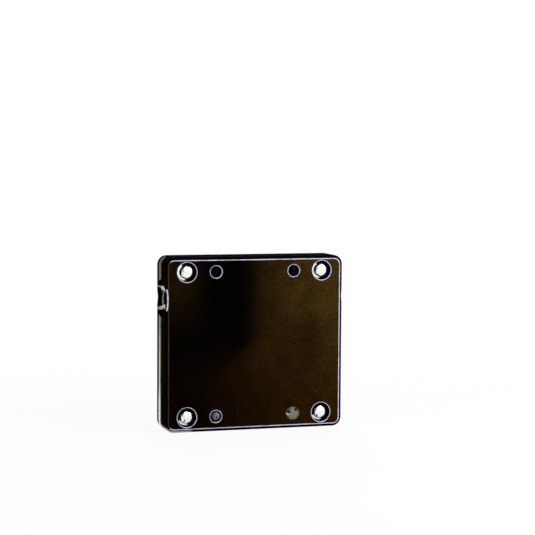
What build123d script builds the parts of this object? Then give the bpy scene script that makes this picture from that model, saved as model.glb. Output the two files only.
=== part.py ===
from build123d import *
import math
import os

# Rail-mount bracket for a small outboard motor.
# Two equal boards close round a horizontal rail tube and the stanchion tube that meets it from below.
# Four hex bolts through both boards draw them together and grip the tubes.
# All sizes are in millimetres and angles in degrees. The origin is where the two tube axes cross.
# X runs along the rail, Z up along the stanchion, and the front face looks towards -Y.

# Boards
BOARD_WIDTH = 190.0
BOARD_HEIGHT = 180.0
BOARD_THICKNESS = 19.0
BOARD_GAP = 1.6
CORNER_RADIUS = 9.5
EDGE_ROUND = 3.5
PARTING_EDGE_BREAK = 0.5
RAIL_BELOW_TOP = 43.0

# Tubes that the boards grip, and the rounded mouths where the tubes leave
RAIL_DIAMETER = 25.4
STANCHION_DIAMETER = 22.2
MOUTH_ROUND = 6.35
MOUTH_WALL = 0.5

# Places of the two rows of holes, measured in from the edges
BOLT_FROM_SIDE = 23.0
BOLT_FROM_END = 15.5
SCREW_FROM_BOLT = 30.5

# Hex bolt, its washers and its lock nut. Widths are added to the bolt's own radius.
BOLT_DIAMETER = 6.35
BOLT_HEAD_SHOULDER = 2.38
BOLT_HEAD_HEIGHT = 4.6
BOLT_END_PROJECTION = 1.75
BOLT_END_CHAMFER = 0.8
BOLT_HEAD_TURNS = (4.0, -2.0, 6.0, 1.0)
WASHER_WIDTH = 5.575
WASHER_THICKNESS = 1.6
WASHER_HOLE_CLEARANCE = 0.35
LOCK_NUT_HEX_HEIGHT = 5.4
LOCK_NUT_CROWN_HEIGHT = 2.5
LOCK_NUT_CROWN_INSET = 0.4
LOCK_NUT_CROWN_CHAMFER = 1.0
NUT_INSERT_WIDTH = 1.23
NUT_INSERT_TOP_WIDTH = 0.73
NUT_INSERT_HEIGHT = 2.2

# Pan-head screw in the lower inner hole, its washer and nut. Widths are added to the screw's own radius.
SCREW_DIAMETER = 4.83
SCREW_HEAD_SHOULDER = 2.335
SCREW_HEAD_HEIGHT = 2.9
SCREW_HEAD_DOME = 1.1
SCREW_SLOT_WIDTH = 1.1
SCREW_SLOT_FROM_RIM = 2.25
SCREW_SLOT_DEPTH = 1.4
SCREW_SLOT_TURNS = (20.0, 110.0)
SCREW_END_PROJECTION = 1.2
SCREW_END_CHAMFER = 0.5
SCREW_WASHER_WIDTH = 3.285
SCREW_WASHER_THICKNESS = 1.0
SCREW_NUT_SHOULDER = 2.335
SCREW_NUT_HEIGHT = 3.2
SCREW_NUT_TURN = 11.0

# Holes through the boards, and how far the recesses stand clear of what they hold
BOLT_HOLE_CLEARANCE = 0.28
SCREW_HOLE_CLEARANCE = 0.2
BOLT_RECESS_CLEARANCE = 1.25
SCREW_RECESS_CLEARANCE = 0.4
BOLT_HEAD_SINK = 2.0
BOLT_END_SINK = 0.45
SCREW_HEAD_SINK = 0.8
SCREW_END_SINK = 1.6
HOLE_EDGE_BREAK = 0.6

# Push-in plug in the other lower inner hole. Its flange is let into the front face, round the recess.
PLUG_RADIAL_CLEARANCE = 0.08
PLUG_FLANGE_WIDTH = 1.1
PLUG_FLANGE_THICKNESS = 1.6
PLUG_CROWN = 0.35
PLUG_PIT_RADIUS = 1.15
PLUG_PIT_ANGLE = 161.0
PLUG_SLOT_LENGTH = 3.5
PLUG_SLOT_WIDTH = 1.8
PLUG_SLOT_ANGLE = 51.0
PLUG_CUTS_FROM_RIM = 2.2
PLUG_CUT_DEPTH = 1.1

# Fits between metal pieces
THREAD_CLEARANCE = 0.05
SEAT_CLEARANCE = 0.05

# How a hexagon's corners are turned off: the end face's circle as a share of the flats, and the slope
BOLT_FACE_SHARE = 0.9
NUT_FACE_SHARE = 0.96
HEX_TURNING_ANGLE = 30.0

# How far a cutter runs past the surface that it opens
OVERCUT = 2.0

# Boards, from the parting plane out
HALF_THICKNESS = BOARD_GAP / 2 + BOARD_THICKNESS
TOP = RAIL_BELOW_TOP
BOTTOM = RAIL_BELOW_TOP - BOARD_HEIGHT
MIDDLE = (TOP + BOTTOM) / 2
SIDE = BOARD_WIDTH / 2

# Places of the bolts and of the inner holes, as X and Z, from the upper left to the lower right
BOLT_X = SIDE - BOLT_FROM_SIDE
SCREW_X = BOLT_X - SCREW_FROM_BOLT
ROW_HIGH = TOP - BOLT_FROM_END
ROW_LOW = BOTTOM + BOLT_FROM_END
BOLT_PLACES = [(x, z) for z in (ROW_HIGH, ROW_LOW) for x in (-BOLT_X, BOLT_X)]
SCREW_PLACES = [(x, z) for z in (ROW_HIGH, ROW_LOW) for x in (-SCREW_X, SCREW_X)]
SCREW_PLACE = SCREW_PLACES[2]
PLUG_PLACE = SCREW_PLACES[3]

# Widths of the fasteners, out from their shanks
BOLT_HEX_FLATS = BOLT_DIAMETER + 2 * BOLT_HEAD_SHOULDER
WASHER_RADIUS = BOLT_DIAMETER / 2 + WASHER_WIDTH
LOCK_NUT_HEIGHT = LOCK_NUT_HEX_HEIGHT + LOCK_NUT_CROWN_HEIGHT
LOCK_NUT_CROWN_RADIUS = BOLT_HEX_FLATS / 2 - LOCK_NUT_CROWN_INSET
NUT_INSERT_RADIUS = BOLT_DIAMETER / 2 + NUT_INSERT_WIDTH
NUT_INSERT_TOP_RADIUS = BOLT_DIAMETER / 2 + NUT_INSERT_TOP_WIDTH
SCREW_HEAD_RADIUS = SCREW_DIAMETER / 2 + SCREW_HEAD_SHOULDER
SCREW_WASHER_RADIUS = SCREW_DIAMETER / 2 + SCREW_WASHER_WIDTH
SCREW_NUT_FLATS = SCREW_DIAMETER + 2 * SCREW_NUT_SHOULDER

# Holes and recesses, round and as deep as what they hold
BOLT_HOLE_RADIUS = BOLT_DIAMETER / 2 + BOLT_HOLE_CLEARANCE
SCREW_HOLE_RADIUS = SCREW_DIAMETER / 2 + SCREW_HOLE_CLEARANCE
BOLT_RECESS_RADIUS = WASHER_RADIUS + BOLT_RECESS_CLEARANCE
SCREW_RECESS_RADIUS = SCREW_WASHER_RADIUS + SCREW_RECESS_CLEARANCE
BOLT_RECESS_FRONT = WASHER_THICKNESS + BOLT_HEAD_HEIGHT + BOLT_HEAD_SINK
BOLT_RECESS_BACK = WASHER_THICKNESS + LOCK_NUT_HEIGHT + BOLT_END_PROJECTION + BOLT_END_SINK
SCREW_RECESS_FRONT = SCREW_HEAD_HEIGHT + SCREW_HEAD_SINK
SCREW_RECESS_BACK = SCREW_WASHER_THICKNESS + SCREW_NUT_HEIGHT + SCREW_END_PROJECTION + SCREW_END_SINK
PLUG_RADIUS = SCREW_RECESS_RADIUS + PLUG_FLANGE_WIDTH

# Distances of the seats from the parting plane
BOLT_SEAT_FRONT = HALF_THICKNESS - BOLT_RECESS_FRONT
BOLT_SEAT_BACK = HALF_THICKNESS - BOLT_RECESS_BACK
SCREW_SEAT_FRONT = HALF_THICKNESS - SCREW_RECESS_FRONT
SCREW_SEAT_BACK = HALF_THICKNESS - SCREW_RECESS_BACK
HEAD_SEAT = BOLT_SEAT_FRONT + WASHER_THICKNESS
NUT_SEAT = BOLT_SEAT_BACK + WASHER_THICKNESS
SCREW_NUT_SEAT = SCREW_SEAT_BACK + SCREW_WASHER_THICKNESS

FRONT, BACK = -1, 1


def outward(side, distance, x=0.0, z=0.0):
    """Plane parallel to the faces, its normal pointing out of the bracket at the front or the back."""
    return Plane(origin=(x, side * distance, z), x_dir=(1, 0, 0), z_dir=(0, side, 0))


def bar(radius, height, start=0.0):
    """Round bar along Z from a start height."""
    standing = Cylinder(radius, height, align=(Align.CENTER, Align.CENTER, Align.MIN))
    return Pos(0, 0, start) * standing


def frustum(base_radius, top_radius, height, start=0.0):
    """Round tapered bar along Z from a start height."""
    standing = Cone(base_radius, top_radius, height, align=(Align.CENTER, Align.CENTER, Align.MIN))
    return Pos(0, 0, start) * standing


def domed(radius, height, dome):
    """Round button on the XY plane whose top rises by the dome height towards its middle."""
    sphere_radius = (radius ** 2 + dome ** 2) / (2 * dome)
    return bar(radius, height) & Pos(0, 0, height - sphere_radius) * Sphere(sphere_radius)


def slab():
    """Board blank on the XY plane: outer rim rounded over at the top, inner rim broken at the bottom."""
    outline = RectangleRounded(BOARD_WIDTH, BOARD_HEIGHT, CORNER_RADIUS)
    blank = extrude(outline, BOARD_THICKNESS)
    blank = fillet(blank.faces().sort_by(Axis.Z)[-1].edges(), EDGE_ROUND)
    return chamfer(blank.faces().sort_by(Axis.Z)[0].edges(), PARTING_EDGE_BREAK)


def tube_cut(radius, length):
    """Tube-shaped cutter along its own Z, from the origin to a bell mouth at its far end."""
    mouth_round = min(MOUTH_ROUND, HALF_THICKNESS - radius - MOUTH_WALL)
    start = length - mouth_round
    flare = radius + mouth_round
    with BuildPart() as cutter:
        with BuildSketch(Plane.XZ):
            with BuildLine():
                Polyline((0, 0), (radius, 0), (radius, start))
                RadiusArc((radius, start), (flare, length), -mouth_round)
                Polyline((flare, length), (flare, length + OVERCUT), (0, length + OVERCUT), (0, 0))
            make_face()
        revolve(axis=Axis.Z)
    return cutter.part


def tube_cuts():
    """Crossing cutters for the rail and the stanchion, with a bell mouth wherever a tube leaves."""
    rail_half = tube_cut(RAIL_DIAMETER / 2, SIDE)
    stanchion = tube_cut(STANCHION_DIAMETER / 2, -BOTTOM)
    to_right = Plane(origin=(0, 0, 0), x_dir=(0, 1, 0), z_dir=(1, 0, 0)) * rail_half
    to_left = Plane(origin=(0, 0, 0), x_dir=(0, 1, 0), z_dir=(-1, 0, 0)) * rail_half
    downward = Plane(origin=(0, 0, 0), x_dir=(1, 0, 0), z_dir=(0, 0, -1)) * stanchion
    return to_right + to_left + downward


def stepped_hole(hole_radius, recess_radius, recess_depth):
    """Cutter down from the XY plane: a through hole, its recess, and a broken edge round the recess."""
    hole = bar(hole_radius, BOARD_THICKNESS + 2 * OVERCUT, -BOARD_THICKNESS - OVERCUT)
    recess = bar(recess_radius, recess_depth + OVERCUT, -recess_depth)
    edge = frustum(recess_radius, recess_radius + 2 * HOLE_EDGE_BREAK, 2 * HOLE_EDGE_BREAK, -HOLE_EDGE_BREAK)
    return hole + recess + edge


def board(side, bolt_recess, screw_recess):
    """One board with its half of the tube bores and its eight stepped holes."""
    body = outward(side, BOARD_GAP / 2, z=MIDDLE) * slab() - tube_cuts()
    for places, hole_radius, recess_radius, depth in (
            (BOLT_PLACES, BOLT_HOLE_RADIUS, BOLT_RECESS_RADIUS, bolt_recess),
            (SCREW_PLACES, SCREW_HOLE_RADIUS, SCREW_RECESS_RADIUS, screw_recess)):
        for x, z in places:
            body -= outward(side, HALF_THICKNESS, x, z) * stepped_hole(hole_radius, recess_radius, depth)
    return body


def front_board():
    """The front board, with a shallow counterbore for the plug's flange."""
    body = board(FRONT, BOLT_RECESS_FRONT, SCREW_RECESS_FRONT)
    radius = PLUG_RADIUS + PLUG_RADIAL_CLEARANCE
    counterbore = bar(radius, PLUG_FLANGE_THICKNESS + OVERCUT, -PLUG_FLANGE_THICKNESS)
    return body - outward(FRONT, HALF_THICKNESS, *PLUG_PLACE) * counterbore


def hexagon(across_flats, height, face_share):
    """Hexagon bar on the XY plane, its corners turned off at the top."""
    corner = across_flats / math.sqrt(3)
    face_circle = face_share * across_flats / 2
    drop = (corner - face_circle) * math.tan(math.radians(HEX_TURNING_ANGLE))
    prism = extrude(RegularPolygon(across_flats / 2, 6, major_radius=False, rotation=30), height)
    turned = bar(corner, height - drop) + frustum(corner, face_circle, drop, height - drop)
    return prism & turned


def shank(radius, length, end_chamfer):
    """Round shank along Z, from the XY plane down, with its far end chamfered."""
    blank = bar(radius, length, -length)
    return chamfer(blank.edges().sort_by(Axis.Z)[0], end_chamfer)


def washer(radius, hole_radius, thickness):
    """Flat washer on the XY plane."""
    return bar(radius, thickness) - bar(hole_radius, thickness + 2 * OVERCUT, -OVERCUT)


def hex_bolt(x, z, turn):
    """Hex bolt, its head on the front washer and its end past the lock nut."""
    grip = HEAD_SEAT + NUT_SEAT
    head = Rot(0, 0, turn) * hexagon(BOLT_HEX_FLATS, BOLT_HEAD_HEIGHT, BOLT_FACE_SHARE)
    stem = shank(BOLT_DIAMETER / 2, grip + LOCK_NUT_HEIGHT + BOLT_END_PROJECTION, BOLT_END_CHAMFER)
    return outward(FRONT, HEAD_SEAT, x, z) * (head + stem)


def bolt_washer():
    """Washer under a bolt head or under a lock nut."""
    return washer(WASHER_RADIUS, BOLT_DIAMETER / 2 + WASHER_HOLE_CLEARANCE, WASHER_THICKNESS)


def lock_nut(x, z, turn):
    """Lock nut: a hex body under a crown that is rolled inwards over the plastic ring."""
    crown = bar(LOCK_NUT_CROWN_RADIUS, LOCK_NUT_HEIGHT)
    crown = chamfer(crown.edges().sort_by(Axis.Z)[-1], LOCK_NUT_CROWN_CHAMFER)
    bore = bar(BOLT_DIAMETER / 2 + THREAD_CLEARANCE, LOCK_NUT_HEIGHT + 2 * OVERCUT, -OVERCUT)
    pocket = frustum(NUT_INSERT_RADIUS + SEAT_CLEARANCE, NUT_INSERT_TOP_RADIUS + SEAT_CLEARANCE,
                     NUT_INSERT_HEIGHT, LOCK_NUT_HEIGHT - NUT_INSERT_HEIGHT)
    nut = hexagon(BOLT_HEX_FLATS, LOCK_NUT_HEX_HEIGHT, NUT_FACE_SHARE) + crown - bore - pocket
    return outward(BACK, NUT_SEAT, x, z) * Rot(0, 0, turn) * nut


def nut_insert(x, z):
    """Plastic locking ring, held in the crown of one lock nut by its taper."""
    ring = frustum(NUT_INSERT_RADIUS, NUT_INSERT_TOP_RADIUS, NUT_INSERT_HEIGHT)
    ring -= bar(BOLT_DIAMETER / 2 + THREAD_CLEARANCE, NUT_INSERT_HEIGHT + 2 * OVERCUT, -OVERCUT)
    return outward(BACK, NUT_SEAT + LOCK_NUT_HEIGHT - NUT_INSERT_HEIGHT, x, z) * ring


def pan_screw(x, z):
    """Round-topped screw with a crossed recess, from its front seat to past its nut."""
    grip = SCREW_SEAT_FRONT + SCREW_NUT_SEAT
    head = domed(SCREW_HEAD_RADIUS, SCREW_HEAD_HEIGHT, SCREW_HEAD_DOME)
    slot = Box(2 * (SCREW_HEAD_RADIUS - SCREW_SLOT_FROM_RIM), SCREW_SLOT_WIDTH, SCREW_SLOT_DEPTH + OVERCUT,
               align=(Align.CENTER, Align.CENTER, Align.MIN))
    for turn in SCREW_SLOT_TURNS:
        head -= Pos(0, 0, SCREW_HEAD_HEIGHT - SCREW_SLOT_DEPTH) * Rot(0, 0, turn) * slot
    stem = shank(SCREW_DIAMETER / 2, grip + SCREW_NUT_HEIGHT + SCREW_END_PROJECTION, SCREW_END_CHAMFER)
    return outward(FRONT, SCREW_SEAT_FRONT, x, z) * (head + stem)


def screw_nut(x, z):
    """Plain hex nut on the screw."""
    nut = hexagon(SCREW_NUT_FLATS, SCREW_NUT_HEIGHT, NUT_FACE_SHARE)
    nut -= bar(SCREW_DIAMETER / 2 + THREAD_CLEARANCE, SCREW_NUT_HEIGHT + 2 * OVERCUT, -OVERCUT)
    return outward(BACK, SCREW_NUT_SEAT, x, z) * Rot(0, 0, SCREW_NUT_TURN) * nut


def hole_plug(x, z):
    """Push-in plug, its flange flush with the front face, with a pit and a slot to pry it out by."""
    seat = -PLUG_FLANGE_THICKNESS
    plug = Pos(0, 0, seat) * domed(PLUG_RADIUS, PLUG_FLANGE_THICKNESS, PLUG_CROWN)
    plug += bar(SCREW_RECESS_RADIUS - PLUG_RADIAL_CLEARANCE, SCREW_RECESS_FRONT + seat, -SCREW_RECESS_FRONT)
    reach = PLUG_RADIUS - PLUG_CUTS_FROM_RIM
    depth = PLUG_CUT_DEPTH + OVERCUT
    plug -= Rot(0, 0, PLUG_PIT_ANGLE) * Pos(reach, 0, 0) * bar(PLUG_PIT_RADIUS, depth, -PLUG_CUT_DEPTH)
    slot = extrude(SlotOverall(PLUG_SLOT_LENGTH, PLUG_SLOT_WIDTH), depth)
    plug -= Rot(0, 0, PLUG_SLOT_ANGLE) * Pos(reach, 0, -PLUG_CUT_DEPTH) * Rot(0, 0, -PLUG_SLOT_ANGLE) * slot
    return outward(FRONT, HALF_THICKNESS, x, z) * plug


def all_pieces():
    """Every node of the bracket by name."""
    pieces = {
        "front_board": front_board(),
        "back_board": board(BACK, BOLT_RECESS_BACK, SCREW_RECESS_BACK),
        "pan_screw": pan_screw(*SCREW_PLACE),
        "screw_washer": outward(BACK, SCREW_SEAT_BACK, *SCREW_PLACE)
        * washer(SCREW_WASHER_RADIUS, SCREW_HOLE_RADIUS, SCREW_WASHER_THICKNESS),
        "screw_nut": screw_nut(*SCREW_PLACE),
        "hole_plug": hole_plug(*PLUG_PLACE),
    }
    for number, ((x, z), turn) in enumerate(zip(BOLT_PLACES, BOLT_HEAD_TURNS), start=1):
        pieces[f"hex_bolt_{number}"] = hex_bolt(x, z, turn)
        pieces[f"head_washer_{number}"] = outward(FRONT, BOLT_SEAT_FRONT, x, z) * bolt_washer()
        pieces[f"nut_washer_{number}"] = outward(BACK, BOLT_SEAT_BACK, x, z) * bolt_washer()
        pieces[f"lock_nut_{number}"] = lock_nut(x, z, turn)
        pieces[f"nut_insert_{number}"] = nut_insert(x, z)
    return pieces


os.makedirs("parts", exist_ok=True)
for name, piece in all_pieces().items():
    export_step(piece, f"parts/{name}.step")
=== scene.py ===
"""Looks of a two-board rail bracket for a small outboard motor.

The boards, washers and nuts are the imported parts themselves, dressed with procedural finishes.
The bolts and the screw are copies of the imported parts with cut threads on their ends. Everything
is in metres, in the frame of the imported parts: X along the rail, Z up, and the front board's face
looks towards -Y.
"""

import logging
import math
from dataclasses import dataclass
from enum import Enum
from functools import partial, reduce
from typing import Callable, Optional, Sequence, Union

import bmesh
import bpy
from mathutils import Matrix, Vector


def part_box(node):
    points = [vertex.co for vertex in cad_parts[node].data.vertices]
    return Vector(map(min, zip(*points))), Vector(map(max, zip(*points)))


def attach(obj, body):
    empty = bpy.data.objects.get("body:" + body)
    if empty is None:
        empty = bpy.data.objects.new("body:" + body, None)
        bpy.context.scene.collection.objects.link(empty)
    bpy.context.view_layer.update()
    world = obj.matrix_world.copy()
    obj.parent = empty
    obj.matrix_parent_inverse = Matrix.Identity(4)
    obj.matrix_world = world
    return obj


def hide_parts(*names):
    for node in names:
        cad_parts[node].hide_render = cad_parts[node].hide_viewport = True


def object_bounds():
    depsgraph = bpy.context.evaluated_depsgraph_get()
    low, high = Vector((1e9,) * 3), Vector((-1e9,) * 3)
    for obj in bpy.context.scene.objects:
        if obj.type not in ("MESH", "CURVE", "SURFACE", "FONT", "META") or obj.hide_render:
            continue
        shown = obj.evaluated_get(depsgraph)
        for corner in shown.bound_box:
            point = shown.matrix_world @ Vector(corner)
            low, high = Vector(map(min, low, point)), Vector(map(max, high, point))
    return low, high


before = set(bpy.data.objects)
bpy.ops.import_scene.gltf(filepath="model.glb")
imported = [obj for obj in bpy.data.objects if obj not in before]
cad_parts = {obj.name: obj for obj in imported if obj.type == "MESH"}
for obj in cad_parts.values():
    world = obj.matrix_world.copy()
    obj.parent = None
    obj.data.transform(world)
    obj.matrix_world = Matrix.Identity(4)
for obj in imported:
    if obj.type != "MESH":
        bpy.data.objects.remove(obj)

logging.basicConfig(level=logging.INFO, format="%(name)s: %(message)s")
LOG = logging.getLogger("bracket")

MM = 0.001
BODY = "root"
CAD_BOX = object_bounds()
WELD = 0.000002
SLIVER = 0.0000005
VECTORS = ("Position", "Normal", "Stretch")

Socket = bpy.types.NodeSocket
Value = Union[float, Socket]
Triple = tuple[float, float, float]
Point = Colour = Triple
Input = Union[Value, Sequence[float]]
Ramp = tuple[float, ...]  # From low to high and, where they aren't 0 and 1, from start to end.
Zone = tuple[tuple, ...]  # The name of a value of BoardPlace, and the numbers of its ramp.


class Polish(Enum):
    """How a stainless piece was finished, as the roughness of its metal."""

    TURNED = 0.22
    STAMPED = 0.34
    ROLLED = 0.28
    DULLED = 0.55


class Graph:
    """Short calls that build one node tree."""

    NUMBERS = ("LENGTH", "DOT_PRODUCT", "DISTANCE")

    def __init__(self, tree: bpy.types.NodeTree) -> None:
        """Starts on a node tree.

        Args:
            tree: The tree that the nodes go into.
        """
        self.tree = tree

    def add(self, kind: str, *values: Input, **settings: object) -> bpy.types.Node:
        """Adds a node.

        Args:
            kind: The node's type name.
            values: A socket or a constant for each of its first inputs.
            settings: Values for its own properties.

        Returns:
            The new node.
        """
        node = self.tree.nodes.new(kind)
        for name, value in settings.items():
            setattr(node, name, value)
        for socket, value in zip(node.inputs, values):
            self.feed(socket, value)
        return node

    def feed(self, socket: Socket, value: Input) -> None:
        """Links a socket to an input, or sets the input's constant.

        Args:
            socket: The input to feed.
            value: A socket to link from, or a constant.
        """
        if isinstance(value, bpy.types.NodeSocket):
            self.tree.links.new(value, socket)
        else:
            socket.default_value = value

    def math(self, operation: str, *values: Value, clamp: bool = False) -> Socket:
        """Adds a Math node and gives its result."""
        return self.add(
            "ShaderNodeMath", *values, operation=operation, use_clamp=clamp).outputs["Value"]

    def minus(self, first: Value, second: Value) -> Socket:
        """Subtracts the second value from the first."""
        return self.math("SUBTRACT", first, second)

    def product(self, *values: Value) -> Socket:
        """Multiplies values."""
        return reduce(partial(self.math, "MULTIPLY"), values)

    def largest(self, *values: Value) -> Socket:
        """Gives the largest of some values."""
        return reduce(partial(self.math, "MAXIMUM"), values)

    def vector(self, operation: str, *values: Input) -> Socket:
        """Adds a Vector Math node and gives its result, a number for those in NUMBERS."""
        node = self.add("ShaderNodeVectorMath", *values, operation=operation)
        return node.outputs["Value" if operation in self.NUMBERS else "Vector"]

    def split(self, vector: Socket) -> Sequence[Socket]:
        """Splits a vector into its three numbers."""
        return self.add("ShaderNodeSeparateXYZ", vector).outputs[:]

    def join(self, x: Value, y: Value, z: Value) -> Socket:
        """Joins three numbers into a vector."""
        return self.add("ShaderNodeCombineXYZ", x, y, z).outputs[0]

    def reach(self, across: Value, up: Value) -> Socket:
        """Gives the length of a way across and up."""
        return self.vector("LENGTH", self.join(across, 0.0, up))

    def span(self, value: Socket, low: float, high: float, start: Value = 0.0,
             end: Value = 1.0) -> Socket:
        """Maps a value from low..high to start..end, smoothly and clamped."""
        return self.add("ShaderNodeMapRange", value, low, high, start, end,
                        interpolation_type="SMOOTHSTEP").outputs["Result"]

    def noise(self, position: Socket, scale: float, detail: float = 2.0,
              rough: float = 0.5) -> Socket:
        """Adds a Noise Texture, whose second input isn't used, and gives its factor."""
        return self.add("ShaderNodeTexNoise", position, 0.0, scale, detail, rough).outputs["Fac"]

    def blend(self, factor: Value, first: Input, second: Input) -> Socket:
        """Mixes two colours by a factor and gives the result.

        Args:
            factor: 0 for the first colour, 1 for the second.
            first: A colour.
            second: Another colour.

        Returns:
            The mixed colour.
        """
        node = self.add("ShaderNodeMix", factor, data_type="RGBA")
        for socket, colour in zip(node.inputs[6:8], (first, second)):
            linked = isinstance(colour, bpy.types.NodeSocket)
            self.feed(socket, colour if linked else (*colour, 1.0))
        return node.outputs[2]

    def place(self, group: bpy.types.NodeTree, *values: Input) -> Socket:
        """Places a shader group on values for its inputs and gives its output."""
        return self.add("ShaderNodeGroup", *values, node_tree=group).outputs[0]


class Paint(Graph):
    """The node tree of one material."""

    def __init__(self, name: str) -> None:
        """Makes the material.

        Args:
            name: The material's name.
        """
        self.material = bpy.data.materials.new(name)
        self.material.use_nodes = True
        super().__init__(self.material.node_tree)
        self.shader = self.tree.nodes["Principled BSDF"]
        self.position = self.add("ShaderNodeTexCoord").outputs["Object"]

    def coat(self, **values: Input) -> None:
        """Feeds the shader's inputs, named with underscores for spaces."""
        for name, value in values.items():
            self.feed(self.shader.inputs[name.replace("_", " ")], value)

    def emboss(self, height: Socket, relief: float) -> None:
        """Gives the surface a fine relief, where relief is what a height of 1 is in metres.

        Args:
            height: The height, from 0 to 1.
            relief: The relief at a height of 1.
        """
        bump = self.add("ShaderNodeBump")
        for name, value in (("Strength", 1.0), ("Distance", relief), ("Height", height)):
            self.feed(bump.inputs[name], value)
        self.coat(Normal=bump.outputs["Normal"])


Mask = Callable[[Paint], Socket]


@dataclass(frozen=True)
class Mottle:
    """A noise and the ramp that maps it."""

    scale: float
    detail: float
    ramp: Ramp
    rough: float = 0.5

    def at(self, graph: Paint) -> Socket:
        """Gives the mapped noise over a material."""
        noise = graph.noise(graph.position, self.scale, self.detail, self.rough)
        return graph.span(noise, *self.ramp)


def shader_group(
        name: str, output: str, fill: Callable[..., Socket], *inputs: str) -> bpy.types.NodeTree:
    """Makes a shared shader group with one output.

    Args:
        name: The group's name.
        output: The name of the output.
        fill: Builds the nodes from the group's graph and inputs, and gives what it puts out.
        inputs: The name of each input. Those in VECTORS are vectors, the others numbers.

    Returns:
        The new group.
    """
    tree = bpy.data.node_groups.new(name, "ShaderNodeTree")
    for label in inputs:
        kind = "NodeSocketVector" if label in VECTORS else "NodeSocketFloat"
        tree.interface.new_socket(label, in_out="INPUT", socket_type=kind)
    tree.interface.new_socket(output, in_out="OUTPUT", socket_type="NodeSocketFloat")
    graph = Graph(tree)
    entry = graph.add("NodeGroupInput")
    graph.add("NodeGroupOutput", fill(graph, *(entry.outputs[label] for label in inputs)))
    return tree


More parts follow.
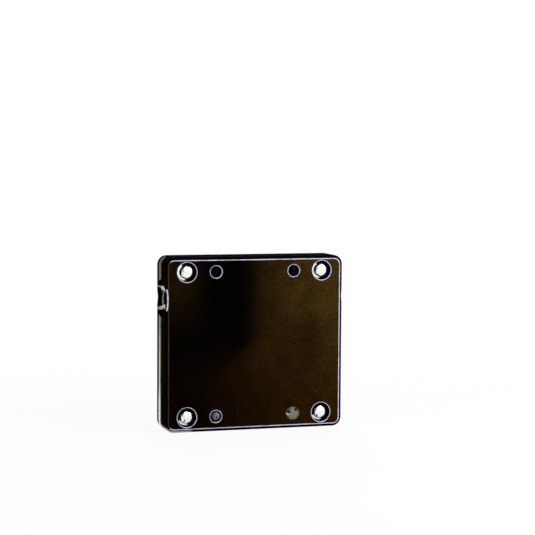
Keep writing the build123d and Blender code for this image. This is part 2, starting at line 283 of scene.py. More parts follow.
class Effects:
    """The shader groups that several finishes share. Lengths are in metres."""

    SOFT_LINE = (0.7, 1.3, 1.0, 0.0)
    BROAD_SCALE = 0.09
    BROAD_SHARE = 0.6
    WANDER_SCALE = 90.0
    WANDER_TURNS = 2.5
    RIPPLE_SIDES = (0.5, 0.95)

    def __init__(self) -> None:
        """Builds every group once."""
        self.border = shader_group("border_line", "Mask", self._border, "Position", "Half Width",
                                   "Half Height", "Corner", "Line")
        self.rim = shader_group(
            "rim_line", "Mask", self._rim, "Position", "Centre X", "Centre Z", "Radius", "Line")
        self.stipple = shader_group("fine_stipple", "Height", self._stipple, "Position", "Pitch")
        self.ripple = shader_group(
            "cutter_ripple", "Height", self._ripple, "Position", "Normal", "Pitch")
        self.streaks = shader_group("fine_streaks", "Height", self._streaks, "Position", "Stretch")
        self.specks = shader_group(
            "specks", "Mask", self._specks, "Position", "Pitch", "Share", "Size")

    @classmethod
    def line(cls, graph: Graph, distance: Socket, width: Value) -> Socket:
        """Soft-edged mask where a distance is within a line's half width."""
        share = graph.math("DIVIDE", graph.math("ABSOLUTE", distance), width)
        return graph.span(share, *cls.SOFT_LINE)

    @staticmethod
    def _border(graph: Graph, position: Socket, half_width: Socket, half_height: Socket,
                corner: Socket, line: Socket) -> Socket:
        """Mask of a line along the border of a rounded rectangle round the origin, in X and Z.

        Args:
            graph: The tree to build in.
            position: The position.
            half_width: Half the rectangle's width.
            half_height: Half its height.
            corner: The radius of its corners.
            line: The line's half width.

        Returns:
            The mask.
        """
        x, _, z = graph.split(graph.vector("ABSOLUTE", position))
        over_x = graph.minus(x, graph.minus(half_width, corner))
        over_z = graph.minus(z, graph.minus(half_height, corner))
        outside = graph.reach(graph.largest(over_x, 0.0), graph.largest(over_z, 0.0))
        inside = graph.math("MINIMUM", graph.largest(over_x, over_z), 0.0)
        distance = graph.minus(graph.math("ADD", outside, inside), corner)
        return Effects.line(graph, distance, line)

    @staticmethod
    def _rim(graph: Graph, position: Socket, centre_x: Socket, centre_z: Socket, radius: Socket,
             line: Socket) -> Socket:
        """Mask of a ring round a hole along Y.

        Args:
            graph: The tree to build in.
            position: The position.
            centre_x: The hole's X.
            centre_z: The hole's Z.
            radius: The ring's radius.
            line: The line's half width.

        Returns:
            The mask.
        """
        x, _, z = graph.split(position)
        reach = graph.reach(graph.minus(x, centre_x), graph.minus(z, centre_z))
        return Effects.line(graph, graph.minus(reach, radius), line)

    @staticmethod
    def _pitches(graph: Graph, position: Socket, pitch: Socket) -> Socket:
        """The position in units of the pitch."""
        return graph.vector("DIVIDE", position, graph.join(pitch, pitch, pitch))

    @staticmethod
    def _stipple(graph: Graph, position: Socket, pitch: Socket) -> Socket:
        """Height of the fine pebbled skin of a moulded sheet.

        Args:
            graph: The tree to build in.
            position: The position.
            pitch: The pitch.

        Returns:
            The height.
        """
        scaled = Effects._pitches(graph, position, pitch)
        fine = graph.noise(scaled, 1.0, 1.0)
        broad = graph.noise(scaled, Effects.BROAD_SCALE)
        return graph.math("MULTIPLY_ADD", broad, Effects.BROAD_SHARE,
                          graph.product(fine, 1 - Effects.BROAD_SHARE))

    @staticmethod
    def _ripple(graph: Graph, position: Socket, normal: Socket, pitch: Socket) -> Socket:
        """Height of the ripples of a turning cutter across an edge, along the way it travelled.

        Args:
            graph: The tree to build in.
            position: The position.
            normal: The surface normal.
            pitch: The pitch.

        Returns:
            The height.
        """
        x, _, z = graph.split(position)
        normal_x, _, normal_z = graph.split(normal)
        along = graph.minus(graph.product(z, normal_x), graph.product(x, normal_z))
        wander = graph.product(graph.noise(position, Effects.WANDER_SCALE), Effects.WANDER_TURNS)
        turns = graph.math("ADD", graph.math("DIVIDE", along, pitch), wander)
        wave = graph.math("SINE", graph.product(turns, 2 * math.pi))
        sides = graph.span(graph.reach(normal_x, normal_z), *Effects.RIPPLE_SIDES)
        return graph.product(graph.math("MULTIPLY_ADD", wave, 0.5, 0.5), sides)

    @staticmethod
    def _streaks(graph: Graph, position: Socket, stretch: Socket) -> Socket:
        """Height of fine drawn streaks, long where the stretch is small."""
        return graph.noise(graph.vector("MULTIPLY", position, stretch), 1.0, detail=3.0, rough=0.6)

    @staticmethod
    def _specks(
            graph: Graph, position: Socket, pitch: Socket, share: Socket, size: Socket) -> Socket:
        """Mask of small round specks scattered over a surface.

        Args:
            graph: The tree to build in.
            position: The position.
            pitch: The pitch.
            share: The share of cells with a speck.
            size: A speck's radius in pitches.

        Returns:
            The mask.
        """
        cell = graph.add("ShaderNodeTexVoronoi", Effects._pitches(graph, position, pitch))
        graph.feed(cell.inputs["Scale"], 1.0)
        tint, _, _ = graph.split(cell.outputs["Color"])
        return graph.product(graph.math("LESS_THAN", tint, share),
                             graph.math("LESS_THAN", cell.outputs["Distance"], size))


@dataclass
class BoardLayout:
    """Where the boards' faces, border and holes are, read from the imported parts. Metres.

    The rims are the radii of the middles of the broken edges round the recesses.
    """

    edge_round: float = 3.5 * MM
    corner_radius: float = 9.5 * MM
    bolt_recess: float = 10.0 * MM
    screw_recess: float = 6.1 * MM
    edge_break: float = 0.6 * MM

    def __post_init__(self) -> None:
        """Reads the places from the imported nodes."""
        low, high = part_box("front_board")
        bolt_low, bolt_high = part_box("head_washer_2")
        plug_low, plug_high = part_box("hole_plug")
        self.half_width = (high.x - low.x) / 2
        self.middle = (high.z + low.z) / 2
        self.face = -low.y
        self.bolt_x = (bolt_low.x + bolt_high.x) / 2
        self.screw_x = (plug_low.x + plug_high.x) / 2
        self.row = (bolt_low.z + bolt_high.z) / 2 - self.middle
        self.flat_half_width = self.half_width - self.edge_round
        self.flat_half_height = (high.z - low.z) / 2 - self.edge_round
        self.flat_corner = self.corner_radius - self.edge_round
        self.bolt_rim = self.bolt_recess + self.edge_break / 2
        self.screw_rim = self.screw_recess + self.edge_break / 2

    def centre(self, graph: Paint) -> Socket:
        """Measures a material's position from the middle of the face."""
        return graph.vector("SUBTRACT", graph.position, (0.0, 0.0, self.middle))

    def from_lower_hole(self, graph: Paint, side: int) -> Sequence[Socket]:
        """Measures a material's position from a lower inner hole, -1 for left and 1 for right.

        Returns:
            How far it is across, along Y and up.
        """
        hole = (side * self.screw_x, 0.0, self.middle - self.row)
        return graph.split(graph.vector("SUBTRACT", graph.position, hole))


class BoardPlace:
    """Masks that say where on the boards a point lies. Each is a value from 0 to 1.

    A zone is a product of ramps, each on the value of that name. The values x, y, z and reach are
    metres from the rail's axis, height from the middle of the face, inward from the left side and
    depth from the face. The wavy values wander a little.
    """

    LINE = 0.42 * MM
    FINE_LINE = 0.40 * MM
    BORE_RADIUS = 3 * MM
    PATCHES = Mottle(110.0, 3.0, (0.32, 0.62, 0.55, 1.0))
    WORKED_EDGE = (("depth", 0.0001, 0.0004),)
    LINES = (("depth", 0.0009, 0.0004),)
    RECESSES = (("depth", 0.0012, 0.0025),)
    BORES = (("depth", 0.0040, 0.0046),)
    LEFT_BORDER = (("inward", 0.0065, 0.0045),)
    LEFT_SIDE = (("reach", 0.0188, 0.0194), ("x", -0.080, -0.084))
    PARTING = (("y", 0.0004, 0.0007), ("y", 0.0046, 0.0036), ("normal_x", -0.3, -0.6))

    SCUFFED = (("streaks", 0.61, 0.71), ("x", -0.090, -0.080), ("z", 0.0425, 0.0400))
    SCUFF_STRETCH = (45.0, 1400.0, 45.0)
    SCUFF_PATCHES = Mottle(28.0, 2.0, (0.40, 0.60, 0.10, 0.55))
    SCUFF_LEVEL = 0.7

    HIGHLIGHT_PATCHES = Mottle(90.0, 2.0, (0.25, 0.6, 0.88, 1.0))
    STRIP_LEVEL = (0.055, -0.040, 0.17, 0.74)
    STRIP_LOW_LEVEL = (-0.042, -0.062, 0.0, 0.26)
    STRIP_WIDENS = (-0.042, -0.062, 0.0, 0.0012)
    STRIP_TURNS = (-0.2, -0.6, 0.0, 0.005)
    STRIP_NEAR = (0.0028, 0.0036)
    STRIP_FAR = (0.0090, 0.0080)
    STRIP = (("normal_x", -0.25, -0.40),)
    LOW_EDGE = (("normal_z", -0.25, -0.6), ("normal_z", -0.99, -0.93), ("x", -0.064, -0.07),
                ("height", -0.070, -0.078))
    LOW_EDGE_LEVEL = 0.5

    # For each lip: on the back board its height and how that changes inwards, its height on the
    # front board, and how far its edge reaches, outside and inside.
    LIPS = ((0.0102, -0.25, 0.0086, 0.0026, 0.0016), (-0.0124, 0.40, -0.0090, 0.0017, 0.0009))
    LIP_WANDER = Mottle(170.0, 2.0, (0.3, 0.7, -0.0008, 0.0008))
    LIP_ENDS = (("y", -0.0182, -0.0172), ("worn_y", 0.0160, 0.0140))
    LIP_LEVEL = 0.92
    RING = (("wavy_reach", 0.0132, 0.0140), ("wavy_reach", 0.0170, 0.0155),
            ("wavy_high", 0.0112, 0.0098))
    RING_LEVEL = 0.35
    IN_MOUTH = (("x", -0.0835, -0.0850),)
    # The rim is an ellipse: its middle and its half size, each in X and Z.
    RIM_MIDDLE = (-0.0963, -0.0006)
    RIM_HALF = (0.0041, 0.0165)
    RIM_LINE = 0.62 * MM
    RIM_ENDS = (("y", -0.0156, -0.0166), ("z", 0.0110, 0.0098), ("z", -0.0120, -0.0108))
    RIM_X = -0.09

    def __init__(self, graph: Paint, effects: Effects, layout: BoardLayout) -> None:
        """Splits the position once for all masks.

        Args:
            graph: The board material's tree.
            effects: The shared shader groups.
            layout: Where the boards' border and holes are.
        """
        self.graph, self.effects, self.layout = graph, effects, layout
        self.x, self.y, self.z = graph.split(graph.position)
        self.centred = layout.centre(graph)
        _, _, self.height = graph.split(self.centred)
        self.folded = graph.vector("ABSOLUTE", self.centred)
        self.depth = graph.minus(layout.face, graph.split(self.folded)[1])
        self.inward = graph.math("ADD", self.x, layout.half_width)
        self.reach = graph.vector("LENGTH", graph.join(0.0, self.y, self.z))
        self.normal = graph.add("ShaderNodeNewGeometry").outputs["Normal"]
        self.normal_x, _, self.normal_z = graph.split(self.normal)
        self.front = graph.math("LESS_THAN", self.y, 0.0)
        self.back = graph.minus(1.0, self.front)
        self.patchy = self.PATCHES.at(graph)
        self.streaks = graph.place(effects.streaks, graph.position, self.SCUFF_STRETCH)
        wander = self.LIP_WANDER.at(graph)
        self.worn_y, self.worn_z, self.wavy_reach = (
            graph.math("ADD", value, wander) for value in (self.y, self.z, self.reach))
        self.wavy_high = graph.math("ABSOLUTE", self.worn_z)
        self.left_side = self.within(self.LEFT_SIDE)

    def within(self, zone: Zone, *masks: Value) -> Socket:
        """The product of a zone's ramps and of masks."""
        ramps = [self.graph.span(getattr(self, name), *ramp) for name, *ramp in zone]
        return self.graph.product(*ramps, *masks)

    def _ring(self, centre_x: float, radius: float, line: float) -> Socket:
        """A ring of a radius and a half width round the four holes at one distance."""
        return self.graph.place(
            self.effects.rim, self.folded, centre_x, self.layout.row, radius, line)

    def shaded_edge(self) -> Socket:
        """The rounded edges and the sides, outside the flat faces, which are painted near black as
        shade.
        """
        return self.within(self.WORKED_EDGE)

    def scuffs(self) -> Socket:
        """Fine scuffs that run along the worked edges, away from the left side."""
        return self.within(
            self.SCUFFED, self.SCUFF_PATCHES.at(self.graph), self.shaded_edge(), self.SCUFF_LEVEL)

    def left_border(self) -> Socket:
        """The front's left border line."""
        return self.within(self.LEFT_BORDER, self.front)

    def lines(self) -> Socket:
        """Painted highlights: the pale lines along the border and round the open holes.

        Returns:
            The mask.
        """
        graph, layout = self.graph, self.layout
        width = graph.span(self.left_border(), 0.0, 1.0, self.LINE, self.FINE_LINE)
        border = graph.place(self.effects.border, self.centred, layout.flat_half_width,
                             layout.flat_half_height, layout.flat_corner, width)
        plugged = graph.product(graph.math("GREATER_THAN", self.x, 0.0),
                                graph.math("LESS_THAN", self.height, 0.0), self.front)
        screw_rings = graph.product(
            self._ring(layout.screw_x, layout.screw_rim, self.FINE_LINE), graph.minus(1.0, plugged))
        bolt_rings = self._ring(layout.bolt_x, layout.bolt_rim, self.LINE)
        return self.within(self.LINES, graph.largest(border, bolt_rings, screw_rings), self.patchy)

    def inside_recesses(self) -> Socket:
        """The walls and floors of the recesses, which get painted shade.

        Returns:
            The mask.
        """
        layout = self.layout
        return self.within(self.RECESSES, self.graph.largest(
            self._ring(layout.bolt_x, 0.0, layout.bolt_rim),
            self._ring(layout.screw_x, 0.0, layout.screw_rim)))

    def inside_bores(self) -> Socket:
        """The walls of the small bores behind the inner recesses."""
        return self.within(self.BORES, self._ring(self.layout.screw_x, 0.0, self.BORE_RADIUS))

    def parting(self) -> Socket:
        """A painted highlight: a thin line on the back board's left edge, next to the gap between
        the boards.
        """
        return self.within(self.PARTING, self.patchy, self.left_side)

    def highlighted_strips(self) -> Socket:
        """Painted highlights: a strip on the back board's left side, and the front's lower left
        edge.

        Returns:
            The mask.
        """
        graph = self.graph
        level = graph.math("ADD", graph.span(self.height, *self.STRIP_LEVEL),
                           graph.span(self.height, *self.STRIP_LOW_LEVEL))
        wide = graph.span(self.height, *self.STRIP_WIDENS)
        far = graph.math("ADD", wide, graph.span(self.normal_z, *self.STRIP_TURNS))
        strip = self.within(self.STRIP,
                            graph.span(graph.math("ADD", self.y, wide), *self.STRIP_NEAR),
                            graph.span(graph.minus(self.y, far), *self.STRIP_FAR),
                            self.left_side, level)
        low_edge = self.within(self.LOW_EDGE, self.front, self.LOW_EDGE_LEVEL)
        return graph.product(graph.largest(strip, low_edge), self.HIGHLIGHT_PATCHES.at(graph))

    def mouth_lips(self) -> Socket:
        """Pale cream lips of the rail's left mouth, inside it, and a faint ring between them.

        Returns:
            The mask.
        """
        graph = self.graph
        bands = []
        for back, slope, front, outside, inside in self.LIPS:
            on_back = graph.product(graph.math("MULTIPLY_ADD", self.inward, slope, back), self.back)
            middle = graph.math("MULTIPLY_ADD", self.front, front, on_back)
            off = graph.math("ABSOLUTE", graph.minus(self.worn_z, middle))
            bands.append(graph.span(off, outside, inside))
        lips = self.within(self.LIP_ENDS, graph.largest(*bands))
        ring = self.within(self.RING, self.patchy, self.RING_LEVEL)
        return self.within(self.IN_MOUTH, graph.largest(lips, ring), self.LIP_LEVEL)

    def mouth_rim(self) -> Socket:
        """A painted highlight: a pale line on the front board's edge where the rail's left mouth
        nears the face.

        Returns:
            The mask.
        """
        graph = self.graph
        ways = [graph.math("DIVIDE", graph.minus(value, middle), half)
                for value, middle, half in zip((self.x, self.z), self.RIM_MIDDLE, self.RIM_HALF)]
        ratio = graph.reach(*ways)
        slope = graph.reach(*map(partial(graph.math, "DIVIDE"), ways, self.RIM_HALF))
        over = graph.product(graph.minus(ratio, 1.0), ratio)
        line = Effects.line(graph, graph.math("DIVIDE", over, slope), self.RIM_LINE)
        beside = graph.math("LESS_THAN", self.x, self.RIM_X)
        return self.within(self.RIM_ENDS, line, beside, self.patchy)


class SheetShade:
    """Painted light and shade on the bare sheet, and its hue, from 0 to 1."""

    ACROSS = (1 / 0.144, 0.417)
    LOWER_HALF = (0.46, 0.04)
    SLANT_TOP = 0.005
    SLANT = -0.8
    DARK_END = (-0.014, 0.020, 0.0, 0.40)
    RIGHT_END = (0.055, 0.092, 0.0, 0.32)
    UPPER_HALF = (-0.045, 0.004)
    TOP_RIGHT = (("height", 0.014, 0.040, 0.0, 0.33), ("x", 0.015, 0.045))
    TOP_LEFT = (("height", 0.0, 0.070, 0.0, 0.22), ("x", -0.045, -0.080))
    BLOTCHES = Mottle(60.0, 4.0, (0.3, 0.7, 0.78, 1.22), 0.65)
    GRAIN = Mottle(650.0, 1.0, (0.28, 0.72, 0.58, 1.42))
    BACK = Mottle(16.0, 3.0, (0.3, 0.7, 0.2, 0.5))
    HUE = Mottle(380.0, 2.0, (0.3, 0.7, -0.65, 0.65))
    HUE_UPWARDS = (-0.055, 0.015, 0.15, 0.70)

    @classmethod
    def level(cls, graph: Paint, place: BoardPlace) -> Socket:
        """Painted light and shade: a painted shadow, near black, at the left, and painted light to
        the right and in the top corners.

        Args:
            graph: The tree to build in.
            place: Where on the boards a point lies.

        Returns:
            The lightness.
        """
        along = graph.math("MULTIPLY_ADD", place.x, *cls.ACROSS, clamp=True)
        low = graph.math("MULTIPLY_ADD", along, *cls.LOWER_HALF)
        below = graph.math("MINIMUM", graph.minus(place.height, cls.SLANT_TOP), 0.0)
        slanted = graph.math("MULTIPLY_ADD", below, cls.SLANT, place.x)
        high = graph.math(
            "ADD", graph.span(slanted, *cls.DARK_END), graph.span(place.x, *cls.RIGHT_END))
        ramp = graph.math(
            "MULTIPLY_ADD", graph.span(place.height, *cls.UPPER_HALF), graph.minus(high, low), low)
        corners = graph.math("ADD", place.within(cls.TOP_RIGHT), place.within(cls.TOP_LEFT))
        grain = cls.GRAIN.at(graph)
        front = graph.product(
            graph.math("ADD", ramp, corners), cls.BLOTCHES.at(graph), grain, place.front)
        back = graph.product(cls.BACK.at(graph), grain, place.back)
        return graph.math("ADD", front, back, clamp=True)

    @classmethod
    def hue(cls, graph: Paint, place: BoardPlace) -> Socket:
        """Hue: speckled, with more olive upwards."""
        return graph.math(
            "ADD", cls.HUE.at(graph), graph.span(place.height, *cls.HUE_UPWARDS), clamp=True)


@dataclass(frozen=True)
class BoardFinish:
    """Dark solid plastic sheet: brown faces with painted light and shade, worked edges painted
    black as shade, and painted highlight lines.
    """

    # Painted light: the sheet's lit brown and olive tones, which the painted shade blends towards
    # dark.
    lit_brown: Colour = (0.045, 0.0165, 0.0020)
    olive: Colour = (0.041, 0.0260, 0.0055)
    dark: Colour = (0.0006, 0.0002, 0.0001)
    # Painted shade: the worked edges and the sides are near black.
    shaded_edge: Colour = (0.0008, 0.0007, 0.0009)
    scuffed: Colour = (0.055, 0.050, 0.048)
    # Painted highlights along the broken edges, dim brown along the left border.
    highlight_line: Colour = (0.72, 0.68, 0.94)
    dim_highlight: Colour = (0.085, 0.040, 0.015)
    # Painted highlight on the back board's edge next to the gap.
    parting_highlight: Colour = (0.20, 0.17, 0.045)
    # Painted highlights on the back board's left side and the front's lower left edge.
    strip_highlight: Colour = (0.90, 0.90, 0.87)
    cream: Colour = (0.74, 0.66, 0.54)
    # Grey on the walls of the small bores.
    bore_grey: Colour = (0.13, 0.13, 0.17)
    # Painted shade in the recesses, and dirt specks.
    grime_and_shade: Colour = (0.0008, 0.0006, 0.0005)
    gloss: float = 0.006
    gloss_tint: tuple[float, float, float, float] = (1.0, 0.82, 0.6, 1.0)
    rubbed: Mottle = Mottle(40.0, 4.0, (0.35, 0.75, 0.57, 0.44))
    rougher_cut: Ramp = (0.25, 0.05, 0.0, 0.38)
    specks: Triple = (20.0 * MM, 0.25, 0.05)  # Pitch, share and size.
    pebble_pitch: float = 0.7 * MM
    pebble_share: float = 0.6
    ripple_pitch: float = 1.2 * MM
    relief: float = 0.06 * MM

    def material(self, effects: Effects, layout: BoardLayout) -> bpy.types.Material:
        """Builds the material.

        Args:
            effects: The shared shader groups.
            layout: Where the boards' border and holes are.

        Returns:
            The finished material.
        """
        graph = Paint("board")
        place = BoardPlace(graph, effects, layout)
        # The sheet's hue, then painted light and shade between that tone and the dark colour.
        tone = graph.blend(SheetShade.hue(graph, place), self.lit_brown, self.olive)
        colour = graph.blend(SheetShade.level(graph, place), self.dark, tone)
        line = graph.blend(place.left_border(), self.highlight_line, self.dim_highlight)
        # Painted shade on the worked edges and in the recesses, and painted highlights along the
        # lines, the parting, the left strips and the mouth's rim.
        layers = (
            (place.shaded_edge(), self.shaded_edge), (place.scuffs(), self.scuffed),
            (graph.place(effects.specks, graph.position, *self.specks), self.grime_and_shade),
            (place.inside_recesses(), self.grime_and_shade), (place.inside_bores(), self.bore_grey),
            (place.parting(), self.parting_highlight), (place.highlighted_strips(), self.strip_highlight),
            (place.mouth_lips(), self.cream), (place.lines(), line),
            (place.mouth_rim(), self.highlight_line))
        for mask, coat in layers:
            colour = graph.blend(mask, colour, coat)
        facing = graph.split(graph.vector("ABSOLUTE", place.normal))[1]
        rough = graph.math(
            "ADD", self.rubbed.at(graph), graph.span(facing, *self.rougher_cut), clamp=True)
        pebbles = graph.place(effects.stipple, graph.position, self.pebble_pitch)
        ripple = graph.place(effects.ripple, graph.position, place.normal, self.ripple_pitch)
        graph.emboss(graph.math("MULTIPLY_ADD", pebbles, self.pebble_share, ripple), self.relief)
        graph.coat(Base_Color=colour, Roughness=rough, Specular_IOR_Level=self.gloss,
                   Specular_Tint=self.gloss_tint)
        return graph.material


@dataclass(frozen=True)
class Recesses:
    """Masks on the pieces in the bolt recesses of the front. Each is a value from 0 to 1."""

    UPPER_WAY = (-0.974, 0.0, -0.225)
    UPPER_LIT = (0.20, 0.45)
    LOWER_WAY = (-0.42, 0.0, -0.907)
    LOWER_LIT = (0.70, 0.88)
    CLEAR = (0.0063, 0.0071)
    # For each nick: the side of its head, its place from the head's middle, and its size.
    NICKS = (
        (-1, -0.0022, -0.0032, 0.0011), (-1, 0.0017, 0.0030, 0.0007), (1, -0.0036, -0.0033, 0.0011))
    NICK_EDGE = (0.7, 1.2, 1.0, 0.0)
    NICK_LEVEL = 0.85

    layout: BoardLayout

    def washer_shade(self, graph: Paint) -> Socket:
        """Painted shade on a head washer: all of it but a lit crescent at the lower left, clear of
        the head.

        Args:
            graph: The tree to build in.

        Returns:
            The mask.
        """
        centred = self.layout.centre(graph)
        corner = graph.vector(
            "MULTIPLY", graph.vector("SIGN", centred), (self.layout.bolt_x, 0.0, self.layout.row))
        off_x, _, off_z = graph.split(graph.vector("SUBTRACT", centred, corner))
        out = graph.join(off_x, 0.0, off_z)
        way = graph.vector("NORMALIZE", out)
        upper = graph.math("GREATER_THAN", graph.split(centred)[2], 0.0)
        above = graph.span(graph.vector("DOT_PRODUCT", way, self.UPPER_WAY), *self.UPPER_LIT)
        below = graph.span(graph.vector("DOT_PRODUCT", way, self.LOWER_WAY), *self.LOWER_LIT)
        lit = graph.math(
            "ADD", graph.product(above, upper), graph.product(below, graph.minus(1.0, upper)))
        # Painted contact shade on the washer next to the head.
        clear = graph.span(graph.vector("LENGTH", out), *self.CLEAR)
        return graph.minus(1.0, graph.product(lit, clear))

    def head_nicks(self, graph: Paint) -> Socket:
        """Dark nicks in the top faces of the two lower heads.

        Args:
            graph: The tree to build in.

        Returns:
            The mask.
        """
        x, _, z = graph.split(self.layout.centre(graph))
        nicks = []
        for side, across, up, size in self.NICKS:
            reach = graph.reach(graph.minus(x, side * self.layout.bolt_x + across),
                                graph.math("ADD", z, self.layout.row - up))
            nicks.append(graph.span(graph.math("DIVIDE", reach, size), *self.NICK_EDGE))
        return graph.product(graph.largest(*nicks), self.NICK_LEVEL)


@dataclass(frozen=True)
class SteelFinish:
    """Bright stainless steel with drawn streaks, a little haze, and painted shade on its sides
    towards the front.
    """

    polish: Polish
    tint: Colour = (0.86, 0.85, 0.82)
    haze: Colour = (0.66, 0.65, 0.62)
    # Painted shade on the sides of the pieces, and dark marks.
    shade_and_marks: Colour = (0.008, 0.008, 0.010)
    stretch: Triple = (9000.0, 300.0, 1500.0)
    cloud: Mottle = Mottle(400.0, 3.0, (0.35, 0.7))
    dark_sides: Ramp = (0.6, 0.35)
    streak_ends: Ramp = (0.3, 0.7)
    smoother: float = 0.06
    rougher: float = 0.1
    gloss: float = 0.1
    relief: float = 0.01 * MM

    def material(self, effects: Effects, name: str,
                 shade_and_marks_mask: Optional[Mask] = None) -> bpy.types.Material:
        """Builds the material.

        Args:
            effects: The shared shader groups.
            name: The end of the material's name.
            shade_and_marks_mask: Builds a mask of further painted shade and dark marks.

        Returns:
            The finished material.
        """
        graph = Paint(f"steel_{name}")
        streaks = graph.place(effects.streaks, graph.position, self.stretch)
        normal = graph.add("ShaderNodeNewGeometry").outputs["Normal"]
        facing = graph.split(graph.vector("ABSOLUTE", normal))[1]
        # Painted shade: sides that face across, on the front, turn dark and lose their metal.
        dull_and_shaded = graph.product(graph.span(facing, *self.dark_sides),
                             graph.math("LESS_THAN", graph.split(graph.position)[1], 0.0))
        if shade_and_marks_mask:
            dull_and_shaded = graph.largest(dull_and_shaded, shade_and_marks_mask(graph))
        bright = graph.blend(self.cloud.at(graph), self.tint, self.haze)
        level = self.polish.value
        rough = graph.span(streaks, *self.streak_ends, level - self.smoother, level + self.rougher)
        graph.emboss(streaks, self.relief)
        graph.coat(Base_Color=graph.blend(dull_and_shaded, bright, self.shade_and_marks),
                   Metallic=graph.minus(1.0, dull_and_shaded), Roughness=graph.largest(dull_and_shaded, rough),
                   Specular_IOR_Level=self.gloss)
        return graph.material


@dataclass(frozen=True)
class PlasticFinish:
    """Small moulded plastic piece with a mottled skin."""

    name: str
    shade: Colour
    mottle: Colour
    roughness: float
    # Grime, and painted shade in hollows such as the plug's pit and slot.
    grime_and_shade: Colour = (0.0010, 0.0008, 0.0006)
    scraped: Colour = (0.62, 0.55, 0.64)
    cloud: Mottle = Mottle(700.0, 3.0, (0.35, 0.7))
    pitch: float = 0.5 * MM
    skin_ends: Ramp = (0.3, 0.7)
    smoother: float = 0.05
    rougher: float = 0.08
    gloss: float = 0.3
    relief: float = 0.04 * MM

    def material(self, effects: Effects, soil_and_shade: Optional[Mask] = None,
                 worn: Optional[Mask] = None) -> bpy.types.Material:
        """Builds the material.

        Args:
            effects: The shared shader groups.
            soil_and_shade: Builds a mask of grime and painted shade.
            worn: Builds a mask of scraped, pale plastic.

        Returns:
            The finished material.
        """
        graph = Paint(self.name)
        skin = graph.place(effects.stipple, graph.position, self.pitch)
        colour = graph.blend(self.cloud.at(graph), self.shade, self.mottle)
        for mask, coat in ((soil_and_shade, self.grime_and_shade), (worn, self.scraped)):
            if mask:
                colour = graph.blend(mask(graph), colour, coat)
        rough = graph.span(
            skin, *self.skin_ends, self.roughness - self.smoother, self.roughness + self.rougher)
        graph.emboss(skin, self.relief)
        graph.coat(Base_Color=colour, Roughness=rough, Specular_IOR_Level=self.gloss)
        return graph.material


def dress(node: str, material: bpy.types.Material) -> None:
    """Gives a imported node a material.

    Args:
        node: The node's name.
        material: The material for all of it.
    """
    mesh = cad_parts[node].data
    if not mesh.materials:
        mesh.materials.append(material)
    for index in range(len(mesh.materials)):
        mesh.materials[index] = material


def put(name: str, data: bpy.types.ID) -> bpy.types.Object:
    """Puts an object with this name and data into the scene.

    Args:
        name: Its name.
        data: Its mesh, lamp or camera.

    Returns:
        The object.
    """
    made = bpy.data.objects.new(name, data)
    bpy.context.scene.collection.objects.link(made)
    return made


def smooth(bm: bmesh.types.BMesh, limit: float) -> None:
    """Shades a mesh smooth, but for edges that turn by the limit or more, in radians.

    Args:
        bm: The mesh.
        limit: The angle of turn.
    """
    for face in bm.faces:
        face.smooth = True
    for edge in bm.edges:
        edge.smooth = edge.is_manifold and edge.calc_face_angle() < limit


def merged_copy(node: str) -> bmesh.types.BMesh:
    """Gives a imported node's mesh as a closed bmesh, its loose triangles joined.

    Args:
        node: The node's name.

    Returns:
        The bmesh.
    """
    bm = bmesh.new()
    bm.from_mesh(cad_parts[node].data)
    bmesh.ops.remove_doubles(bm, verts=bm.verts, dist=WELD)
    bmesh.ops.dissolve_degenerate(bm, dist=SLIVER, edges=bm.edges)
    return bm


def cut_off(bm: bmesh.types.BMesh, height: float, outward: int) -> None:
    """Cuts off what lies past a height along Y, where outward is the sign of the way out."""
    bmesh.ops.bisect_plane(bm, geom=bm.verts[:] + bm.edges[:] + bm.faces[:],
                           plane_co=(0, height, 0), plane_no=(0, outward, 0), clear_outer=True)


def close_ends(bm: bmesh.types.BMesh) -> None:
    """Fills the open ends of a mesh."""
    bmesh.ops.holes_fill(bm, edges=[edge for edge in bm.edges if edge.is_boundary], sides=0)


@dataclass
class CutThread:
    """The threaded end of a bolt or screw, along +Y, centred on X and Z.

    The profile's points are on the crest or at the root, each at a share of the pitch.
    """

    PROFILE = ((False, 0.0), (False, 0.125), (True, 0.5), (True, 0.625), (False, 1.0))

    x: float
    z: float
    crest: float
    pitch: float
    start: float
    end: float
    chamfer: float
    steps: int = 40
    depth_share: float = 0.54
    lead_in: float = 1.2
    weld_share: float = 0.004

    def build(self) -> bmesh.types.BMesh:
        """Turns a thread profile up the shank, cuts it to length and closes its ends.

        Returns:
            The threaded end as a closed bmesh.
        """
        bm = bmesh.new()
        root = self.crest - self.pitch * self.depth_share
        low = self.start - self.lead_in * self.pitch
        verts = [bm.verts.new((self.x + (self.crest if on_crest else root),
                               low + share * self.pitch, self.z))
                 for on_crest, share in self.PROFILE]
        edges = [bm.edges.new(pair) for pair in zip(verts, verts[1:])]
        turns = math.ceil((self.end - low) / self.pitch) + 1
        bmesh.ops.spin(bm, geom=verts + edges, cent=(self.x, low, self.z), axis=(0, 1, 0),
                       dvec=(0, self.pitch / self.steps, 0), angle=2 * math.pi * turns,
                       steps=self.steps * turns, use_merge=False, use_duplicate=False)
        bmesh.ops.remove_doubles(bm, verts=bm.verts, dist=self.pitch * self.weld_share)
        cut_off(bm, self.start, -1)
        cut_off(bm, self.end, 1)
        self._turn_off_end(bm)
        close_ends(bm)
        bmesh.ops.recalc_face_normals(bm, faces=bm.faces)
        return bm

    def _turn_off_end(self, bm: bmesh.types.BMesh) -> None:
        """Draws vertices past the end's chamfer in to its cone.

        Args:
            bm: The mesh.
        """
        for vert in bm.verts:
            reach = Vector((vert.co.x - self.x, 0.0, vert.co.z - self.z))
            limit = self.crest - max(0.0, self.chamfer - (self.end - vert.co.y))
            if reach.length > limit:
                reach.length = limit
                vert.co.x, vert.co.z = self.x + reach.x, self.z + reach.z


